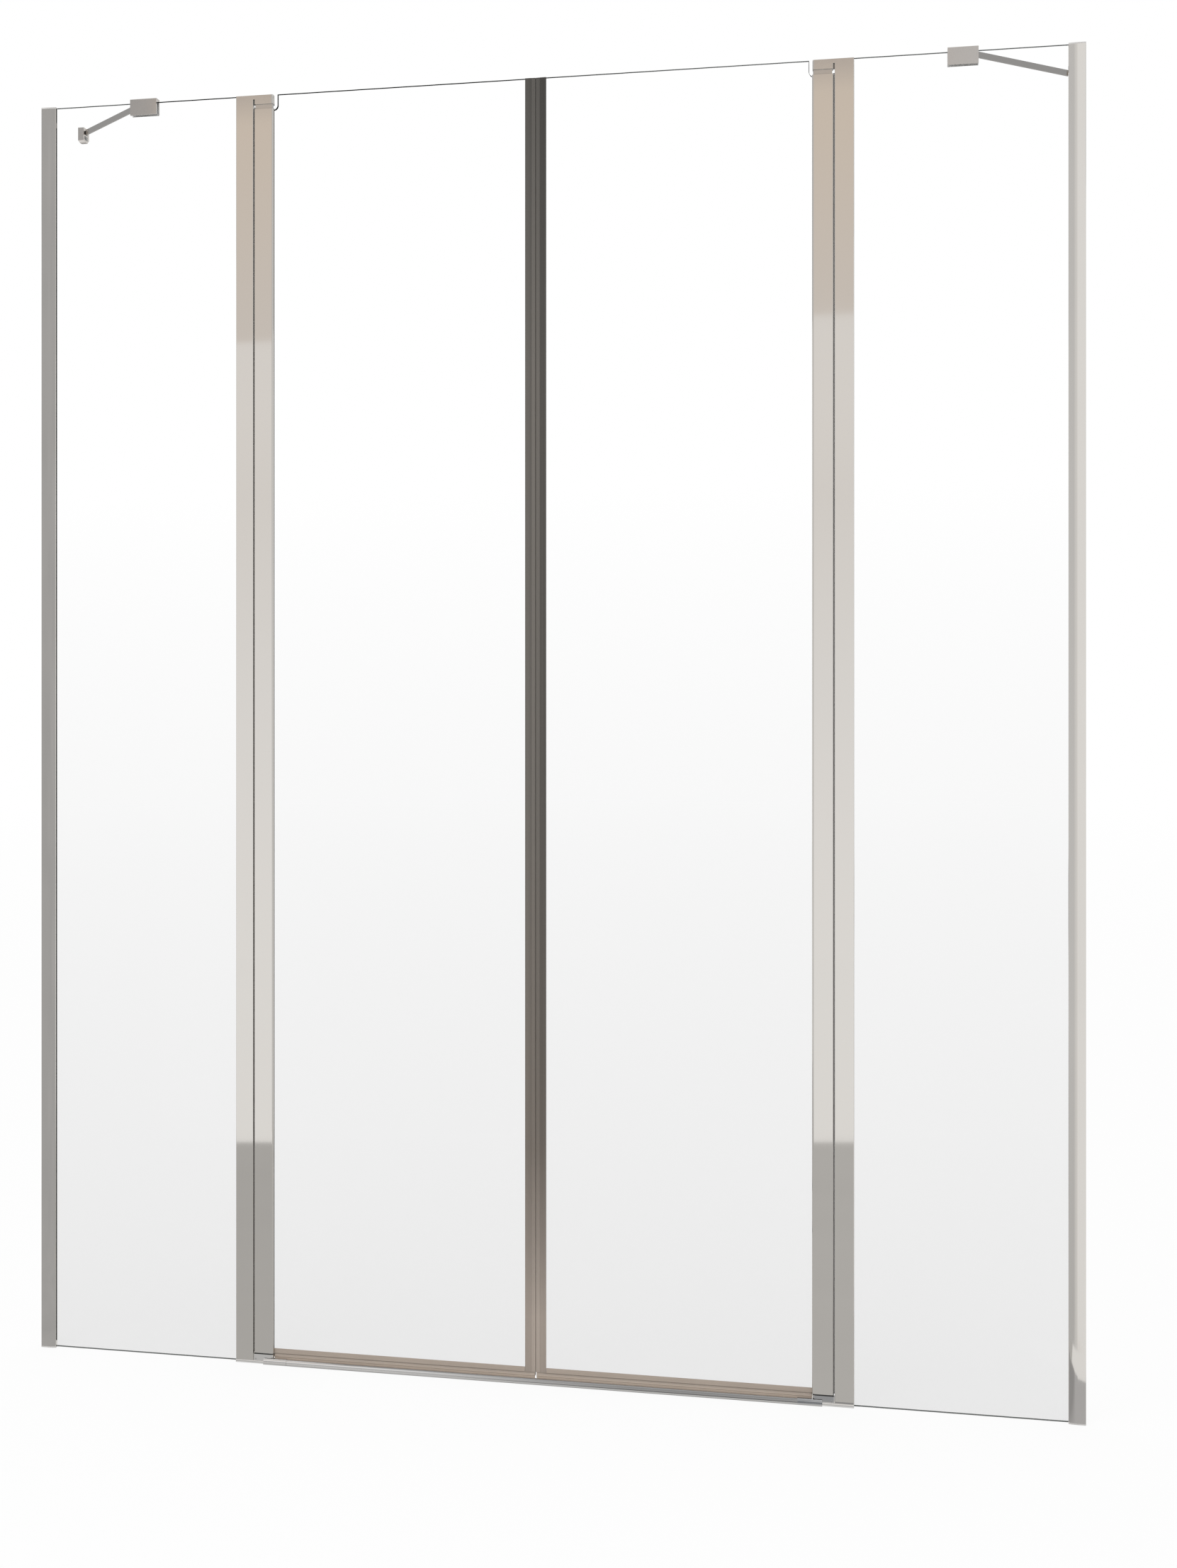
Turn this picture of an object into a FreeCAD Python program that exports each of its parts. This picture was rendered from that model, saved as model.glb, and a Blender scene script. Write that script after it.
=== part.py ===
import FreeCAD, Part
import math
import os

# Shower screen for a niche: a fixed pane at each side wall and two hinged doors that meet in the middle.
# Millimetres. X runs along the screen, Y into the shower, Z up. The origin lies on the floor, at mid-width,
# in the middle of the glass thickness. The left half is modelled and mirrored.

Vector = FreeCAD.Vector
os.makedirs("parts", exist_ok=True)

# Whole screen
screen_width = 1628.4
glass_height = 2000.0
glass_thickness = 6.0
glass_clearance = 0.3

# Extruded profiles: reach in front of and behind the glass, wall, edge rounding, rubber in the glass grooves
profile_front = 6.0
profile_back = 2.0
profile_wall = 1.8
profile_edge_radius = 0.6
gasket_thickness = 0.6
gasket_recess = 0.3

# Wall profile with its crowned inner half, and the channel behind it that is screwed to the wall
wall_profile_width = 24.4
wall_profile_extra_front = 0.5
crown_run = 7.0
crown_drop = 1.2
wall_profile_nose_radius = 0.8
wall_glass_grip = 10.0
wall_rear_setback = 5.5
end_cap_thickness = 2.0
channel_depth = 10.0
channel_wall = 1.8
channel_clearance = 0.3
channel_hole_radius = 2.6
channel_hole_margin = 150.0
channel_hole_spacing = 600.0

# Screws that lock the wall profile to its channel
lock_screw_offset = 5.0
lock_screw_margin = 300.0
lock_screw_head_radius = 3.0
lock_screw_head_height = 1.6
lock_screw_radius = 1.5
lock_screw_tip = 1.0
screw_hole_clearance = 0.2

# Fixed pane and hinge post
fixed_glass_view = 307.2
post_width = 28.4
post_glass_grip = 8.4

# Base plate and foot block
base_height = 4.5
base_front_step = 1.0
base_front_radius = 1.5
foot_block_height = 9.9
block_back_radius = 7.0
block_web_recess = 3.0
block_web = 2.0
foot_joint = 1.1
foot_end_setback = 0.6
foot_end_radius = 4.0
foot_screw_offset = 3.3
foot_screw_height = 7.0
foot_screw_head_radius = 1.5
foot_screw_head_height = 0.3
foot_screw_radius = 1.2
foot_screw_length = 5.0

# Hinge head: plate over the post, block over the door profile, tenon inside the post
head_drop = 1.5
head_plate_height = 6.4
head_block_height = 14.3
head_end_setback = 0.7
head_end_radius = 2.5
head_tenon_length = 30.0
head_tenon_clearance = 0.15
head_screw_depths = (12.0, 23.0)
head_screw_head_radius = 3.2
head_screw_head_height = 1.6
head_screw_radius = 2.0
head_screw_bite = 6.0

# Upper pivot: bush, spindle and the neck that slides in the door profile
spindle_radius = 4.0
running_clearance = 0.05
bush_radius = 5.5
bush_length = 10.0
spindle_end_gap = 0.5
spindle_seat = 25.0
axial_gap = 0.2
neck_height = 7.4
neck_insert = 3.0
neck_skin = 1.2
neck_clearance = 0.3
neck_run_out = 2.0
neck_corner_radius = 1.2
neck_slot_gap = 0.8
tenon_length = 45.0

# Door profile and the lip seal beside it
hinge_gap = 2.2
door_profile_width = 31.2
door_nose_radius = 2.5
door_glass_grip = 6.8
door_rear_setback = 4.0
door_web = 1.5
lip_clearance = 0.3
lip_thickness = 1.6
lip_tip_radius = 0.6
lip_rise = 2.6

# Lower pivot: the door rises by door_lift while it turns by a quarter
door_lift = 6.0
foot_gap = 2.0
pin_radius = 3.0
pin_seat = 8.0
pin_reach = 56.0
cam_clearance = 0.3
cam_plate_height = 1.5
cam_plate_inset = 1.5
cam_plate_radius = 1.0
cam_lobe_step = 0.2
cam_bore_step = 0.25
cam_start_height = 0.5
cam_lobe_gap = 6.0
cam_face_gap = 0.3
cam_follower_gap = 0.8
cam_follower_length = 36.0

# Door glass, with the notch beside the upper hinge
notch_width = 4.6
notch_radius = 7.4
notch_below_profile = 0.8

# Seals of the door
seal_clip_wall = 1.2
seal_clip_height = 7.6
seal_rear_drop = 3.2
seal_edge_radius = 0.3
seal_end_gap = 0.3
bottom_seal_start = 0.1
bulb_half_depth = 3.8
bulb_height = 6.0
bulb_wall = 1.0
bulb_radius = 2.5
bulb_neck_height = 0.6
bulb_neck_half_depth = 2.8
bulb_centre_gap = 1.3
bulb_floor_gap = 0.6
magnet_half_gap = 0.25
magnet_bulb_width = 6.25
magnet_bulb_half_depth = 3.9
magnet_bulb_wall = 0.8
magnet_bulb_radius = 0.7
magnet_clearance = 0.05
magnet_end_gap = 2.0
magnetic_clip_width = 10.0
magnetic_rear_setback = 2.0

# Threshold strip and its end caps
threshold_front = 12.5
threshold_back = 4.0
threshold_height = 8.5
threshold_lip_height = 3.0
threshold_groove = 1.3
threshold_groove_height = 0.9
threshold_round = 3.8
threshold_round_depth = 8.0
threshold_flange = 1.5
threshold_foot_overlap = 15.3
end_cap_length = 37.0
end_cap_socket = 12.0
end_cap_grow = 0.6
end_cap_clearance = 0.2

# Stay: clamp on the fixed pane, bar and wall bracket
clamp_offset = 151.5
clamp_length = 44.5
clamp_drop = 20.0
clamp_rise = 5.5
clamp_front_jaw = 3.0
clamp_rear_jaw = 2.5
clamp_pad = 0.5
clamp_edge_radius = 0.8
clamp_rear_radius = 2.0
clamp_screw_offset = 31.0
clamp_screw_drop = 12.0
clamp_screw_radius = 2.0
clamp_screw_head_radius = 3.2
clamp_screw_head_height = 1.8
lug_start = 1.5
lug_width = 15.2
lug_depth = 8.5
lug_drop = 10.0
lug_radius = 2.0
stay_pivot_offset = 9.1
stay_pivot_depth = 4.0
stay_below_clamp_top = 5.5
bar_thickness = 3.0
bar_height = 8.6
bar_shoulder_clamp = 10.0
bar_shoulder_wall = 6.0
eye_radius = 3.5
eye_height = 6.0
eye_clearance = 0.3
stay_pin_radius = 2.0
stay_pin_recess = 0.5
bracket_thickness = 10.0
bracket_plate = 3.5
bracket_depth = 20.0
bracket_height = 24.0
bracket_top = 8.0
bracket_front_wall = 3.0
bracket_back_wall = 5.0
bracket_chamfer_run = 6.0
bracket_front_chamfer_rise = 2.4
bracket_back_chamfer_rise = 6.5
bracket_screw_room = 6.8
bracket_web = 2.0
bracket_pivot_offset = 7.5
bracket_pivot_depth = 8.5
bracket_reach = 124.5
bracket_screw_radius = 2.0
bracket_screw_head_radius = 3.0
bracket_screw_head_height = 2.2

# Stations across the left half
wall_x = -screen_width / 2
wall_profile_x = wall_x + wall_profile_width
post_x0 = wall_profile_x + fixed_glass_view
post_x1 = post_x0 + post_width
door_x0 = post_x1 + hinge_gap
door_x1 = door_x0 + door_profile_width
axis_x = (door_x0 + door_x1) / 2
clamp_x0 = wall_x + clamp_offset
threshold_half_length = threshold_foot_overlap - door_x1

# Stations through the depth
glass_half = glass_thickness / 2
groove_half = glass_half + gasket_thickness
front_y = -glass_half - profile_front
back_y = glass_half + profile_back
axis_y = (front_y + back_y) / 2
wall_front_y = front_y - wall_profile_extra_front
base_front_y = front_y - base_front_step
lug_y = glass_half + clamp_pad + clamp_rear_jaw

# Stations up the height
head_top = glass_height - head_drop
plate_bottom = head_top - head_plate_height
block_bottom = head_top - head_block_height
door_profile_top = block_bottom - neck_height
foot_top = base_height + foot_block_height
door_profile_bottom = foot_top + foot_gap
bulb_bottom = threshold_height + bulb_floor_gap
bulb_top = bulb_bottom + bulb_height
seal_bottom = bulb_top + bulb_neck_height
door_glass_bottom = seal_bottom + seal_clip_wall
clamp_top = glass_height + clamp_rise
stay_height = clamp_top - stay_below_clamp_top

# Inside of the door profile: chamber for the pivots, groove for the glass
chamber_x0 = door_x0 + profile_wall
door_groove_x = door_x1 - door_glass_grip - gasket_thickness
chamber_x1 = door_groove_x - door_web
door_glass_x0 = door_x1 - door_glass_grip
chamber_y0 = front_y + profile_wall
chamber_y1 = back_y - profile_wall
bore_top_depth = neck_insert + door_lift + neck_run_out

# Free edge of the door
magnet_face_x = -magnet_half_gap
magnet_bulb_x = magnet_face_x - magnet_bulb_width
door_glass_x1 = magnet_bulb_x - seal_clip_wall
magnetic_seal_x0 = magnet_bulb_x - magnetic_clip_width

# Stay pivots
clamp_pivot = Vector(clamp_x0 + stay_pivot_offset, lug_y + stay_pivot_depth, stay_height)
bracket_pivot = Vector(wall_x + bracket_pivot_offset, bracket_reach, stay_height)
bracket_y0 = bracket_reach - bracket_pivot_depth


def place(a, b, level, along):
    """Point (a, b) of a section plane at the given level along the axis that is square to it."""
    if along == "x":
        return Vector(level, a, b)
    if along == "y":
        return Vector(a, level, b)
    return Vector(a, b, level)


def prism(corners, along, start, end):
    """Solid with a section of (a, b, radius) corners, straight between them, from start to end."""
    count = len(corners)
    starts = []
    ends = []
    middles = []
    for i in range(count):
        a, b, radius = corners[i]
        corner = Vector(a, b, 0)
        before = Vector(corners[i - 1][0], corners[i - 1][1], 0) - corner
        after = Vector(corners[(i + 1) % count][0], corners[(i + 1) % count][1], 0) - corner
        before.normalize()
        after.normalize()
        half = before.getAngle(after) / 2
        reach = radius / math.tan(half)
        starts.append(corner + before * reach)
        ends.append(corner + after * reach)
        bisector = before + after
        bisector.normalize()
        middles.append(corner + bisector * (radius / math.sin(half) - radius))
    edges = []
    for i in range(count):
        first, middle, last = [place(p.x, p.y, start, along) for p in (starts[i], middles[i], ends[i])]
        if corners[i][2] > 0:
            edges.append(Part.Arc(first, middle, last).toShape())
        following = starts[(i + 1) % count]
        target = place(following.x, following.y, start, along)
        if last.distanceToPoint(target) > 1e-6:
            edges.append(Part.LineSegment(last, target).toShape())
    face = Part.Face(Part.Wire(edges))
    return face.extrude(place(0, 0, end - start, along))


def plain(a0, a1, b0, b1, radius=0.0):
    """Corners of a rectangle with one rounding."""
    return [(a0, b0, radius), (a1, b0, radius), (a1, b1, radius), (a0, b1, radius)]


def box(x0, x1, y0, y1, z0, z1):
    return Part.makeBox(x1 - x0, y1 - y0, z1 - z0, Vector(x0, y0, z0))


def upright(radius, x, y, z0, z1):
    return Part.makeCylinder(radius, z1 - z0, Vector(x, y, z0))


def mirrored(shape):
    return shape.mirror(Vector(0, 0, 0), Vector(1, 0, 0))


def both(shapes):
    """The left solids and their mirror images in one node."""
    return Part.makeCompound(list(shapes) + [mirrored(shape) for shape in shapes])


def screw(seat, into, head_radius, head_height, radius, length):
    """Screw with a rounded head on its seat, a hexagon socket, and a plain shank."""
    into = Vector(*into)
    top = seat - into * head_height
    head = Part.makeCylinder(head_radius, head_height, seat, into * -1)
    rim = [edge for edge in head.Edges if edge.CenterOfMass.distanceToPoint(top) < 1e-6]
    head = head.makeFillet(head_height * 0.45, rim)
    side = into.cross(Vector(0, 0, 1))
    up = into.cross(side)
    key = head_radius * 0.5
    points = []
    for i in range(7):
        turn = math.radians(60 * i)
        points.append(top + side * (key * math.cos(turn)) + up * (key * math.sin(turn)))
    socket = Part.Face(Part.makePolygon(points)).extrude(into * (head_height * 0.6))
    shank = Part.makeCylinder(radius, length, seat, into)
    return head.cut(socket).fuse(shank)


def groove_gasket(x0, x1, glass_x0, glass_x1, z0, z1):
    """Rubber lining that wraps the glass edge inside a groove."""
    lining = box(x0, x1, -groove_half, groove_half, z0, z1)
    return lining.cut(box(glass_x0, glass_x1, -glass_half, glass_half, z0, z1))


def rear_relief(x1, setback, y0, z0, z1):
    """Cut behind the glass at a groove that ends at x1, where the rear jaw is shorter than the front one."""
    return box(x1 - setback, x1, y0, back_y, z0, z1)


# Wall side: channel, profile, caps, screws and the fixed pane

fixed_glass_x0 = wall_profile_x - wall_glass_grip
fixed_glass_x1 = post_x0 + post_glass_grip
channel_holes = (
    channel_hole_margin,
    glass_height / 2 - channel_hole_spacing / 2,
    glass_height / 2 + channel_hole_spacing / 2,
    glass_height - channel_hole_margin,
)
lock_screw_heights = (lock_screw_margin, glass_height / 2, glass_height - lock_screw_margin)
lock_screw_length = profile_wall + channel_clearance + channel_wall + lock_screw_tip


def wall_profile_corners():
    edge = profile_edge_radius
    crown_turn = math.atan2(crown_drop, crown_run)
    crown_radius = (crown_run - 2 * wall_profile_nose_radius) / math.tan(crown_turn / 2)
    return [
        (wall_x, wall_front_y, edge),
        (wall_profile_x - crown_run, wall_front_y, crown_radius),
        (wall_profile_x, wall_front_y + crown_drop, wall_profile_nose_radius),
        (wall_profile_x, back_y, edge),
        (wall_x, back_y, edge),
    ]


def lock_screw_seats():
    return [Vector(wall_x + lock_screw_offset, back_y, z) for z in lock_screw_heights]


def wall_channel():
    z0 = end_cap_thickness
    z1 = glass_height - end_cap_thickness
    y0 = wall_front_y + profile_wall + channel_clearance
    y1 = back_y - profile_wall - channel_clearance
    x1 = wall_x + channel_depth
    channel = box(wall_x, x1, y0, y1, z0, z1)
    channel = channel.cut(box(wall_x + channel_wall, x1, y0 + channel_wall, y1 - channel_wall, z0, z1))
    middle = (y0 + y1) / 2
    for z in channel_holes:
        start = Vector(wall_x, middle, z)
        channel = channel.cut(Part.makeCylinder(channel_hole_radius, channel_wall, start, Vector(1, 0, 0)))
    for seat in lock_screw_seats():
        channel = channel.cut(Part.makeCylinder(lock_screw_radius, lock_screw_length, seat, Vector(0, -1, 0)))
    return channel


def wall_profile():
    z0 = end_cap_thickness
    z1 = glass_height - end_cap_thickness
    profile = prism(wall_profile_corners(), "z", z0, z1)
    cavity_x1 = wall_x + channel_depth + channel_clearance
    profile = profile.cut(box(wall_x, cavity_x1, wall_front_y + profile_wall, back_y - profile_wall, z0, z1))
    groove_x0 = fixed_glass_x0 - gasket_thickness
    profile = profile.cut(box(groove_x0, wall_profile_x, -groove_half, groove_half, z0, z1))
    profile = profile.cut(rear_relief(wall_profile_x, wall_rear_setback, groove_half, z0, z1))
    hole_radius = lock_screw_radius + screw_hole_clearance
    for seat in lock_screw_seats():
        profile = profile.cut(Part.makeCylinder(hole_radius, profile_wall, seat, Vector(0, -1, 0)))
    return profile


def wall_profile_caps():
    slot_half = glass_half + glass_clearance
    slot_x0 = fixed_glass_x0 - glass_clearance
    caps = []
    for z0 in (0.0, glass_height - end_cap_thickness):
        z1 = z0 + end_cap_thickness
        cap = prism(wall_profile_corners(), "z", z0, z1)
        cap = cap.cut(box(slot_x0, wall_profile_x, -slot_half, slot_half, z0, z1))
        caps.append(cap.cut(rear_relief(wall_profile_x, wall_rear_setback, slot_half, z0, z1)))
    return both(caps)


def lock_screws():
    screws = []
    for seat in lock_screw_seats():
        screws.append(
            screw(seat, (0, -1, 0), lock_screw_head_radius, lock_screw_head_height, lock_screw_radius,
                  lock_screw_length)
        )
    return both(screws)


def wall_gasket():
    z0 = end_cap_thickness
    z1 = glass_height - end_cap_thickness
    x1 = wall_profile_x - gasket_recess
    gasket = groove_gasket(fixed_glass_x0 - gasket_thickness, x1, fixed_glass_x0, x1, z0, z1)
    return gasket.cut(rear_relief(x1, wall_rear_setback, glass_half, z0, z1))


def fixed_glass():
    return box(fixed_glass_x0, fixed_glass_x1, -glass_half, glass_half, 0.0, glass_height)


# Hinge post with its base plate, foot block and head

post_groove_x1 = fixed_glass_x1 + gasket_thickness
post_chamber_x0 = post_groove_x1 + profile_wall
post_chamber_x1 = post_x1 - profile_wall
head_screw_x = (post_chamber_x0 + post_chamber_x1) / 2


def head_screw_seats():
    return [Vector(head_screw_x, back_y, plate_bottom - depth) for depth in head_screw_depths]


def hinge_post():
    corners = plain(post_x0, post_x1, front_y, back_y, profile_edge_radius)
    post = prism(corners, "z", base_height, plate_bottom)
    post = post.cut(box(post_x0, post_groove_x1, -groove_half, groove_half, base_height, plate_bottom))
    post = post.cut(
        box(post_chamber_x0, post_chamber_x1, chamber_y0, chamber_y1, base_height, plate_bottom)
    )
    hole_radius = head_screw_radius + screw_hole_clearance
    for seat in head_screw_seats():
        post = post.cut(Part.makeCylinder(hole_radius, profile_wall, seat, Vector(0, -1, 0)))
    return post


def post_gasket():
    x0 = post_x0 + gasket_recess
    return groove_gasket(x0, post_groove_x1, x0, fixed_glass_x1, base_height, plate_bottom)


def glass_slot(z0, z1):
    """Room for the edge of the fixed pane through a plate on the post."""
    slot_half = glass_half + glass_clearance
    return box(post_x0, fixed_glass_x1 + glass_clearance, -slot_half, slot_half, z0, z1)


def base_plate():
    section = [
        (base_front_y, 0.0, 0.0),
        (back_y, 0.0, 0.0),
        (back_y, base_height, profile_edge_radius),
        (base_front_y, base_height, base_front_radius),
    ]
    return prism(section, "x", post_x0, door_x1).cut(glass_slot(0.0, base_height))


def block_corners(x0, x1, end_radius, inner_back_radius):
    """Section of a block that ends at x1 beside the glass, where it is well rounded."""
    return [
        (x0, front_y, profile_edge_radius),
        (x1, front_y, end_radius),
        (x1, back_y, block_back_radius),
        (x0, back_y, inner_back_radius),
    ]


def block_web_to_post(x0, z0, z1):
    """Thin web that closes the joint between the post and a block that starts at x0."""
    y0 = front_y + block_web_recess
    return box(post_x1, x0 + profile_wall, y0, y0 + block_web, z0, z1)


foot_x0 = post_x1 + foot_joint
foot_screw_seat = Vector(foot_x0 + foot_screw_offset, front_y, foot_screw_height)


def foot_block():
    corners = block_corners(foot_x0, door_x1 - foot_end_setback, foot_end_radius, profile_edge_radius)
    block = prism(corners, "z", base_height, foot_top)
    block = block.fuse(block_web_to_post(foot_x0, base_height, foot_top)).removeSplitter()
    block = block.cut(upright(pin_radius, axis_x, axis_y, foot_top - pin_seat, foot_top))
    hole = Part.makeCylinder(foot_screw_radius, foot_screw_length, foot_screw_seat, Vector(0, 1, 0))
    return block.cut(hole)


def foot_screws():
    return both([
        screw(foot_screw_seat, (0, 1, 0), foot_screw_head_radius, foot_screw_head_height, foot_screw_radius,
              foot_screw_length)
    ])


def hinge_head():
    x1 = door_x1 - head_end_setback
    corners = block_corners(post_x0, x1, head_end_radius, profile_edge_radius)
    plate = prism(corners, "z", plate_bottom, head_top)
    corners = block_corners(door_x0, x1, head_end_radius, block_back_radius)
    block = prism(corners, "z", block_bottom, plate_bottom)
    gap = head_tenon_clearance
    tenon = box(post_chamber_x0 + gap, post_chamber_x1 - gap, chamber_y0 + gap, chamber_y1 - gap,
                plate_bottom - head_tenon_length, plate_bottom)
    web = block_web_to_post(door_x0, block_bottom, plate_bottom)
    head = plate.fuse([block, tenon, web]).removeSplitter()
    head = head.cut(glass_slot(plate_bottom, head_top))
    head = head.cut(upright(bush_radius, axis_x, axis_y, block_bottom, block_bottom + bush_length))
    for seat in head_screw_seats():
        length = profile_wall + head_screw_bite
        head = head.cut(Part.makeCylinder(head_screw_radius, length, seat, Vector(0, -1, 0)))
    return head


def head_screws():
    screws = []
    for seat in head_screw_seats():
        screws.append(
            screw(seat, (0, -1, 0), head_screw_head_radius, head_screw_head_height, head_screw_radius,
                  profile_wall + head_screw_bite)
        )
    return both(screws)


# Upper pivot

neck_top = block_bottom - axial_gap
neck_bottom = door_profile_top - neck_insert
neck_slot_x = door_glass_x0 - neck_slot_gap


def upper_bush():
    z1 = block_bottom + bush_length
    bush = upright(bush_radius, axis_x, axis_y, block_bottom, z1)
    return bush.cut(upright(spindle_radius + running_clearance, axis_x, axis_y, block_bottom, z1))


def spindle():
    z1 = block_bottom + bush_length - spindle_end_gap
    return upright(spindle_radius, axis_x, axis_y, block_bottom - spindle_seat, z1)


def neck_room(skin, z0, z1):
    """Section of the neck inside the door profile, at a distance from its outer faces."""
    x0 = door_x0 + skin
    x1 = door_x1 - skin
    y0 = front_y + skin
    corners = plain(x0, x1, y0, back_y - skin)
    corners[1] = (x1, y0, neck_corner_radius)
    return prism(corners, "z", z0, z1)


def neck():
    skin = neck_skin + neck_clearance
    collar = neck_room(skin, neck_bottom, neck_top)
    slot_y = -groove_half - neck_clearance
    collar = collar.cut(box(neck_slot_x, door_x1, slot_y, back_y, neck_bottom, neck_top))
    gap = neck_clearance
    tenon = box(chamber_x0 + gap, chamber_x1 - gap, chamber_y0 + gap, chamber_y1 - gap,
                neck_bottom - tenon_length, neck_bottom)
    body = collar.fuse(tenon).removeSplitter()
    return body.cut(upright(spindle_radius, axis_x, axis_y, block_bottom - spindle_seat, neck_top))


# Lower pivot with its lifting cam: the ramp climbs in the sense in which the door opens

pin_bottom = foot_top - pin_seat
pin_top = foot_top + pin_reach
cam_radius = (chamber_y1 - chamber_y0) / 2 - cam_clearance
cam_lobe_radius = cam_radius - cam_lobe_step
cam_bore = pin_radius + cam_bore_step
cam_seat = foot_top + cam_plate_height
cam_pitch = 4 * door_lift
cam_turn = math.radians(180 - cam_lobe_gap)
cam_rise = cam_pitch * cam_turn / (2 * math.pi)
follower_bottom = cam_seat + cam_start_height + cam_rise + cam_follower_gap
ramp_steps = 12


def ramp_edge(radius, z0):
    """Left-handed helix at one radius, as a smooth curve through evenly spaced points."""
    points = []
    for i in range(ramp_steps + 1):
        share = i / ramp_steps
        turn = -cam_turn * share
        points.append(Vector(radius * math.cos(turn), radius * math.sin(turn), z0 + cam_rise * share))
    curve = Part.BSplineCurve()
    curve.interpolate(points)
    return Part.Wire([curve.toShape()])


def ramps(z0, level):
    """Two helical ramps around the pivot axis, filled up or down from the ramp to the level."""
    surface = Part.makeLoft([ramp_edge(cam_bore, z0), ramp_edge(cam_lobe_radius, z0)], False, True).Faces[0]
    reach = cam_rise + cam_pitch
    if level < z0:
        block = surface.extrude(Vector(0, 0, -reach))
        keep = box(-cam_radius, cam_radius, -cam_radius, cam_radius, level, z0 + reach)
    else:
        block = surface.extrude(Vector(0, 0, reach))
        keep = box(-cam_radius, cam_radius, -cam_radius, cam_radius, z0 - reach, level)
    lobe = block.common(keep).Solids[0]
    lobes = []
    for turn in (0, 180):
        copy = lobe.copy()
        copy.rotate(Vector(0, 0, 0), Vector(0, 0, 1), turn)
        lobes.append(copy.translated(Vector(axis_x, axis_y, 0)))
    return lobes


def lower_pin():
    return upright(pin_radius, axis_x, axis_y, pin_bottom, pin_top)


def fixed_cam():
    inset = cam_plate_inset
    corners = plain(door_x0 + inset, door_x1 - foot_end_setback - inset, front_y + inset, back_y - inset,
                    cam_plate_radius)
    corners[2] = (corners[2][0], corners[2][1], block_back_radius)
    plate = prism(corners, "z", foot_top, cam_seat)
    plate = plate.cut(upright(pin_radius, axis_x, axis_y, foot_top, cam_seat))
    return plate.fuse(ramps(cam_seat + cam_start_height, cam_seat)).Solids[0]


def cam_follower():
    z1 = follower_bottom + cam_follower_length
    block = box(chamber_x0, chamber_x1, chamber_y0, chamber_y1, follower_bottom, z1)
    block = block.cut(upright(pin_radius + running_clearance, axis_x, axis_y, follower_bottom, z1))
    return block.fuse(ramps(cam_seat + cam_start_height + cam_face_gap, follower_bottom)).Solids[0]


# Door: profile, lip seal, glass and seals

notch_bottom = door_profile_top - notch_below_profile


def door_profile():
    z0 = door_profile_bottom
    z1 = door_profile_top
    corners = plain(door_x0, door_x1, front_y, back_y, profile_edge_radius)
    corners[1] = (door_x1, front_y, door_nose_radius)
    profile = prism(corners, "z", z0, z1)
    profile = profile.cut(box(chamber_x0, chamber_x1, chamber_y0, chamber_y1, z0, z1))
    profile = profile.cut(box(door_groove_x, door_x1, -groove_half, groove_half, z0, z1))
    profile = profile.cut(rear_relief(door_x1, door_rear_setback, groove_half, z0, z1))
    bore_bottom = z1 - bore_top_depth
    room = neck_room(neck_skin, bore_bottom, z1)
    room = room.cut(box(neck_slot_x + neck_clearance, door_x1, groove_half, back_y, bore_bottom, z1))
    return profile.cut(room)


def lip_seal():
    x0 = door_x0 - hinge_gap + lip_clearance
    y0 = axis_y - lip_thickness / 2
    y1 = axis_y + lip_thickness / 2
    corners = [
        (x0, y0, lip_tip_radius),
        (door_x0, y0, 0.0),
        (door_x0, y1, 0.0),
        (x0, y1, lip_tip_radius),
    ]
    return prism(corners, "z", door_profile_bottom, door_profile_top + lip_rise)


def door_gasket():
    x1 = door_x1 - gasket_recess
    z1 = door_profile_top - bore_top_depth
    gasket = groove_gasket(door_groove_x, x1, door_glass_x0, x1, door_glass_bottom, z1)
    return gasket.cut(rear_relief(x1, door_rear_setback, glass_half, door_glass_bottom, z1))


def door_glass():
    notch_x = door_x1 + notch_width
    corners = [
        (door_glass_x0, door_glass_bottom, 0.0),
        (door_glass_x1, door_glass_bottom, 0.0),
        (door_glass_x1, glass_height, 0.0),
        (notch_x, glass_height, 0.0),
        (notch_x, notch_bottom, notch_radius),
        (door_glass_x0, notch_bottom, 0.0),
    ]
    return prism(corners, "y", -glass_half, glass_half)


def bottom_seal():
    outer = glass_half + seal_clip_wall
    z1 = seal_bottom + seal_clip_height
    rear_z1 = z1 - seal_rear_drop
    radius = seal_edge_radius
    clip = prism([
        (-outer, seal_bottom, radius),
        (outer, seal_bottom, radius),
        (outer, rear_z1, radius),
        (glass_half, rear_z1, 0.0),
        (glass_half, door_glass_bottom, 0.0),
        (-glass_half, door_glass_bottom, 0.0),
        (-glass_half, z1, 0.0),
        (-outer, z1, radius),
    ], "x", door_x1 + bottom_seal_start, magnetic_seal_x0 - seal_end_gap)
    x0 = door_x1 + bottom_seal_start
    x1 = -bulb_centre_gap
    bulb = prism(plain(-bulb_half_depth, bulb_half_depth, bulb_bottom, bulb_top, bulb_radius), "x", x0, x1)
    hollow = bulb_half_depth - bulb_wall
    bulb = bulb.cut(
        prism(plain(-hollow, hollow, bulb_bottom + bulb_wall, bulb_top - bulb_wall, bulb_radius - bulb_wall),
              "x", x0, x1)
    )
    middle = (bulb_bottom + bulb_top) / 2
    stem = box(x0, x1, -bulb_neck_half_depth, bulb_neck_half_depth, middle, seal_bottom)
    stem = stem.cut(box(x0, x1, -hollow, hollow, middle, bulb_top - bulb_wall))
    return clip.fuse([stem, bulb]).removeSplitter()


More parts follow.
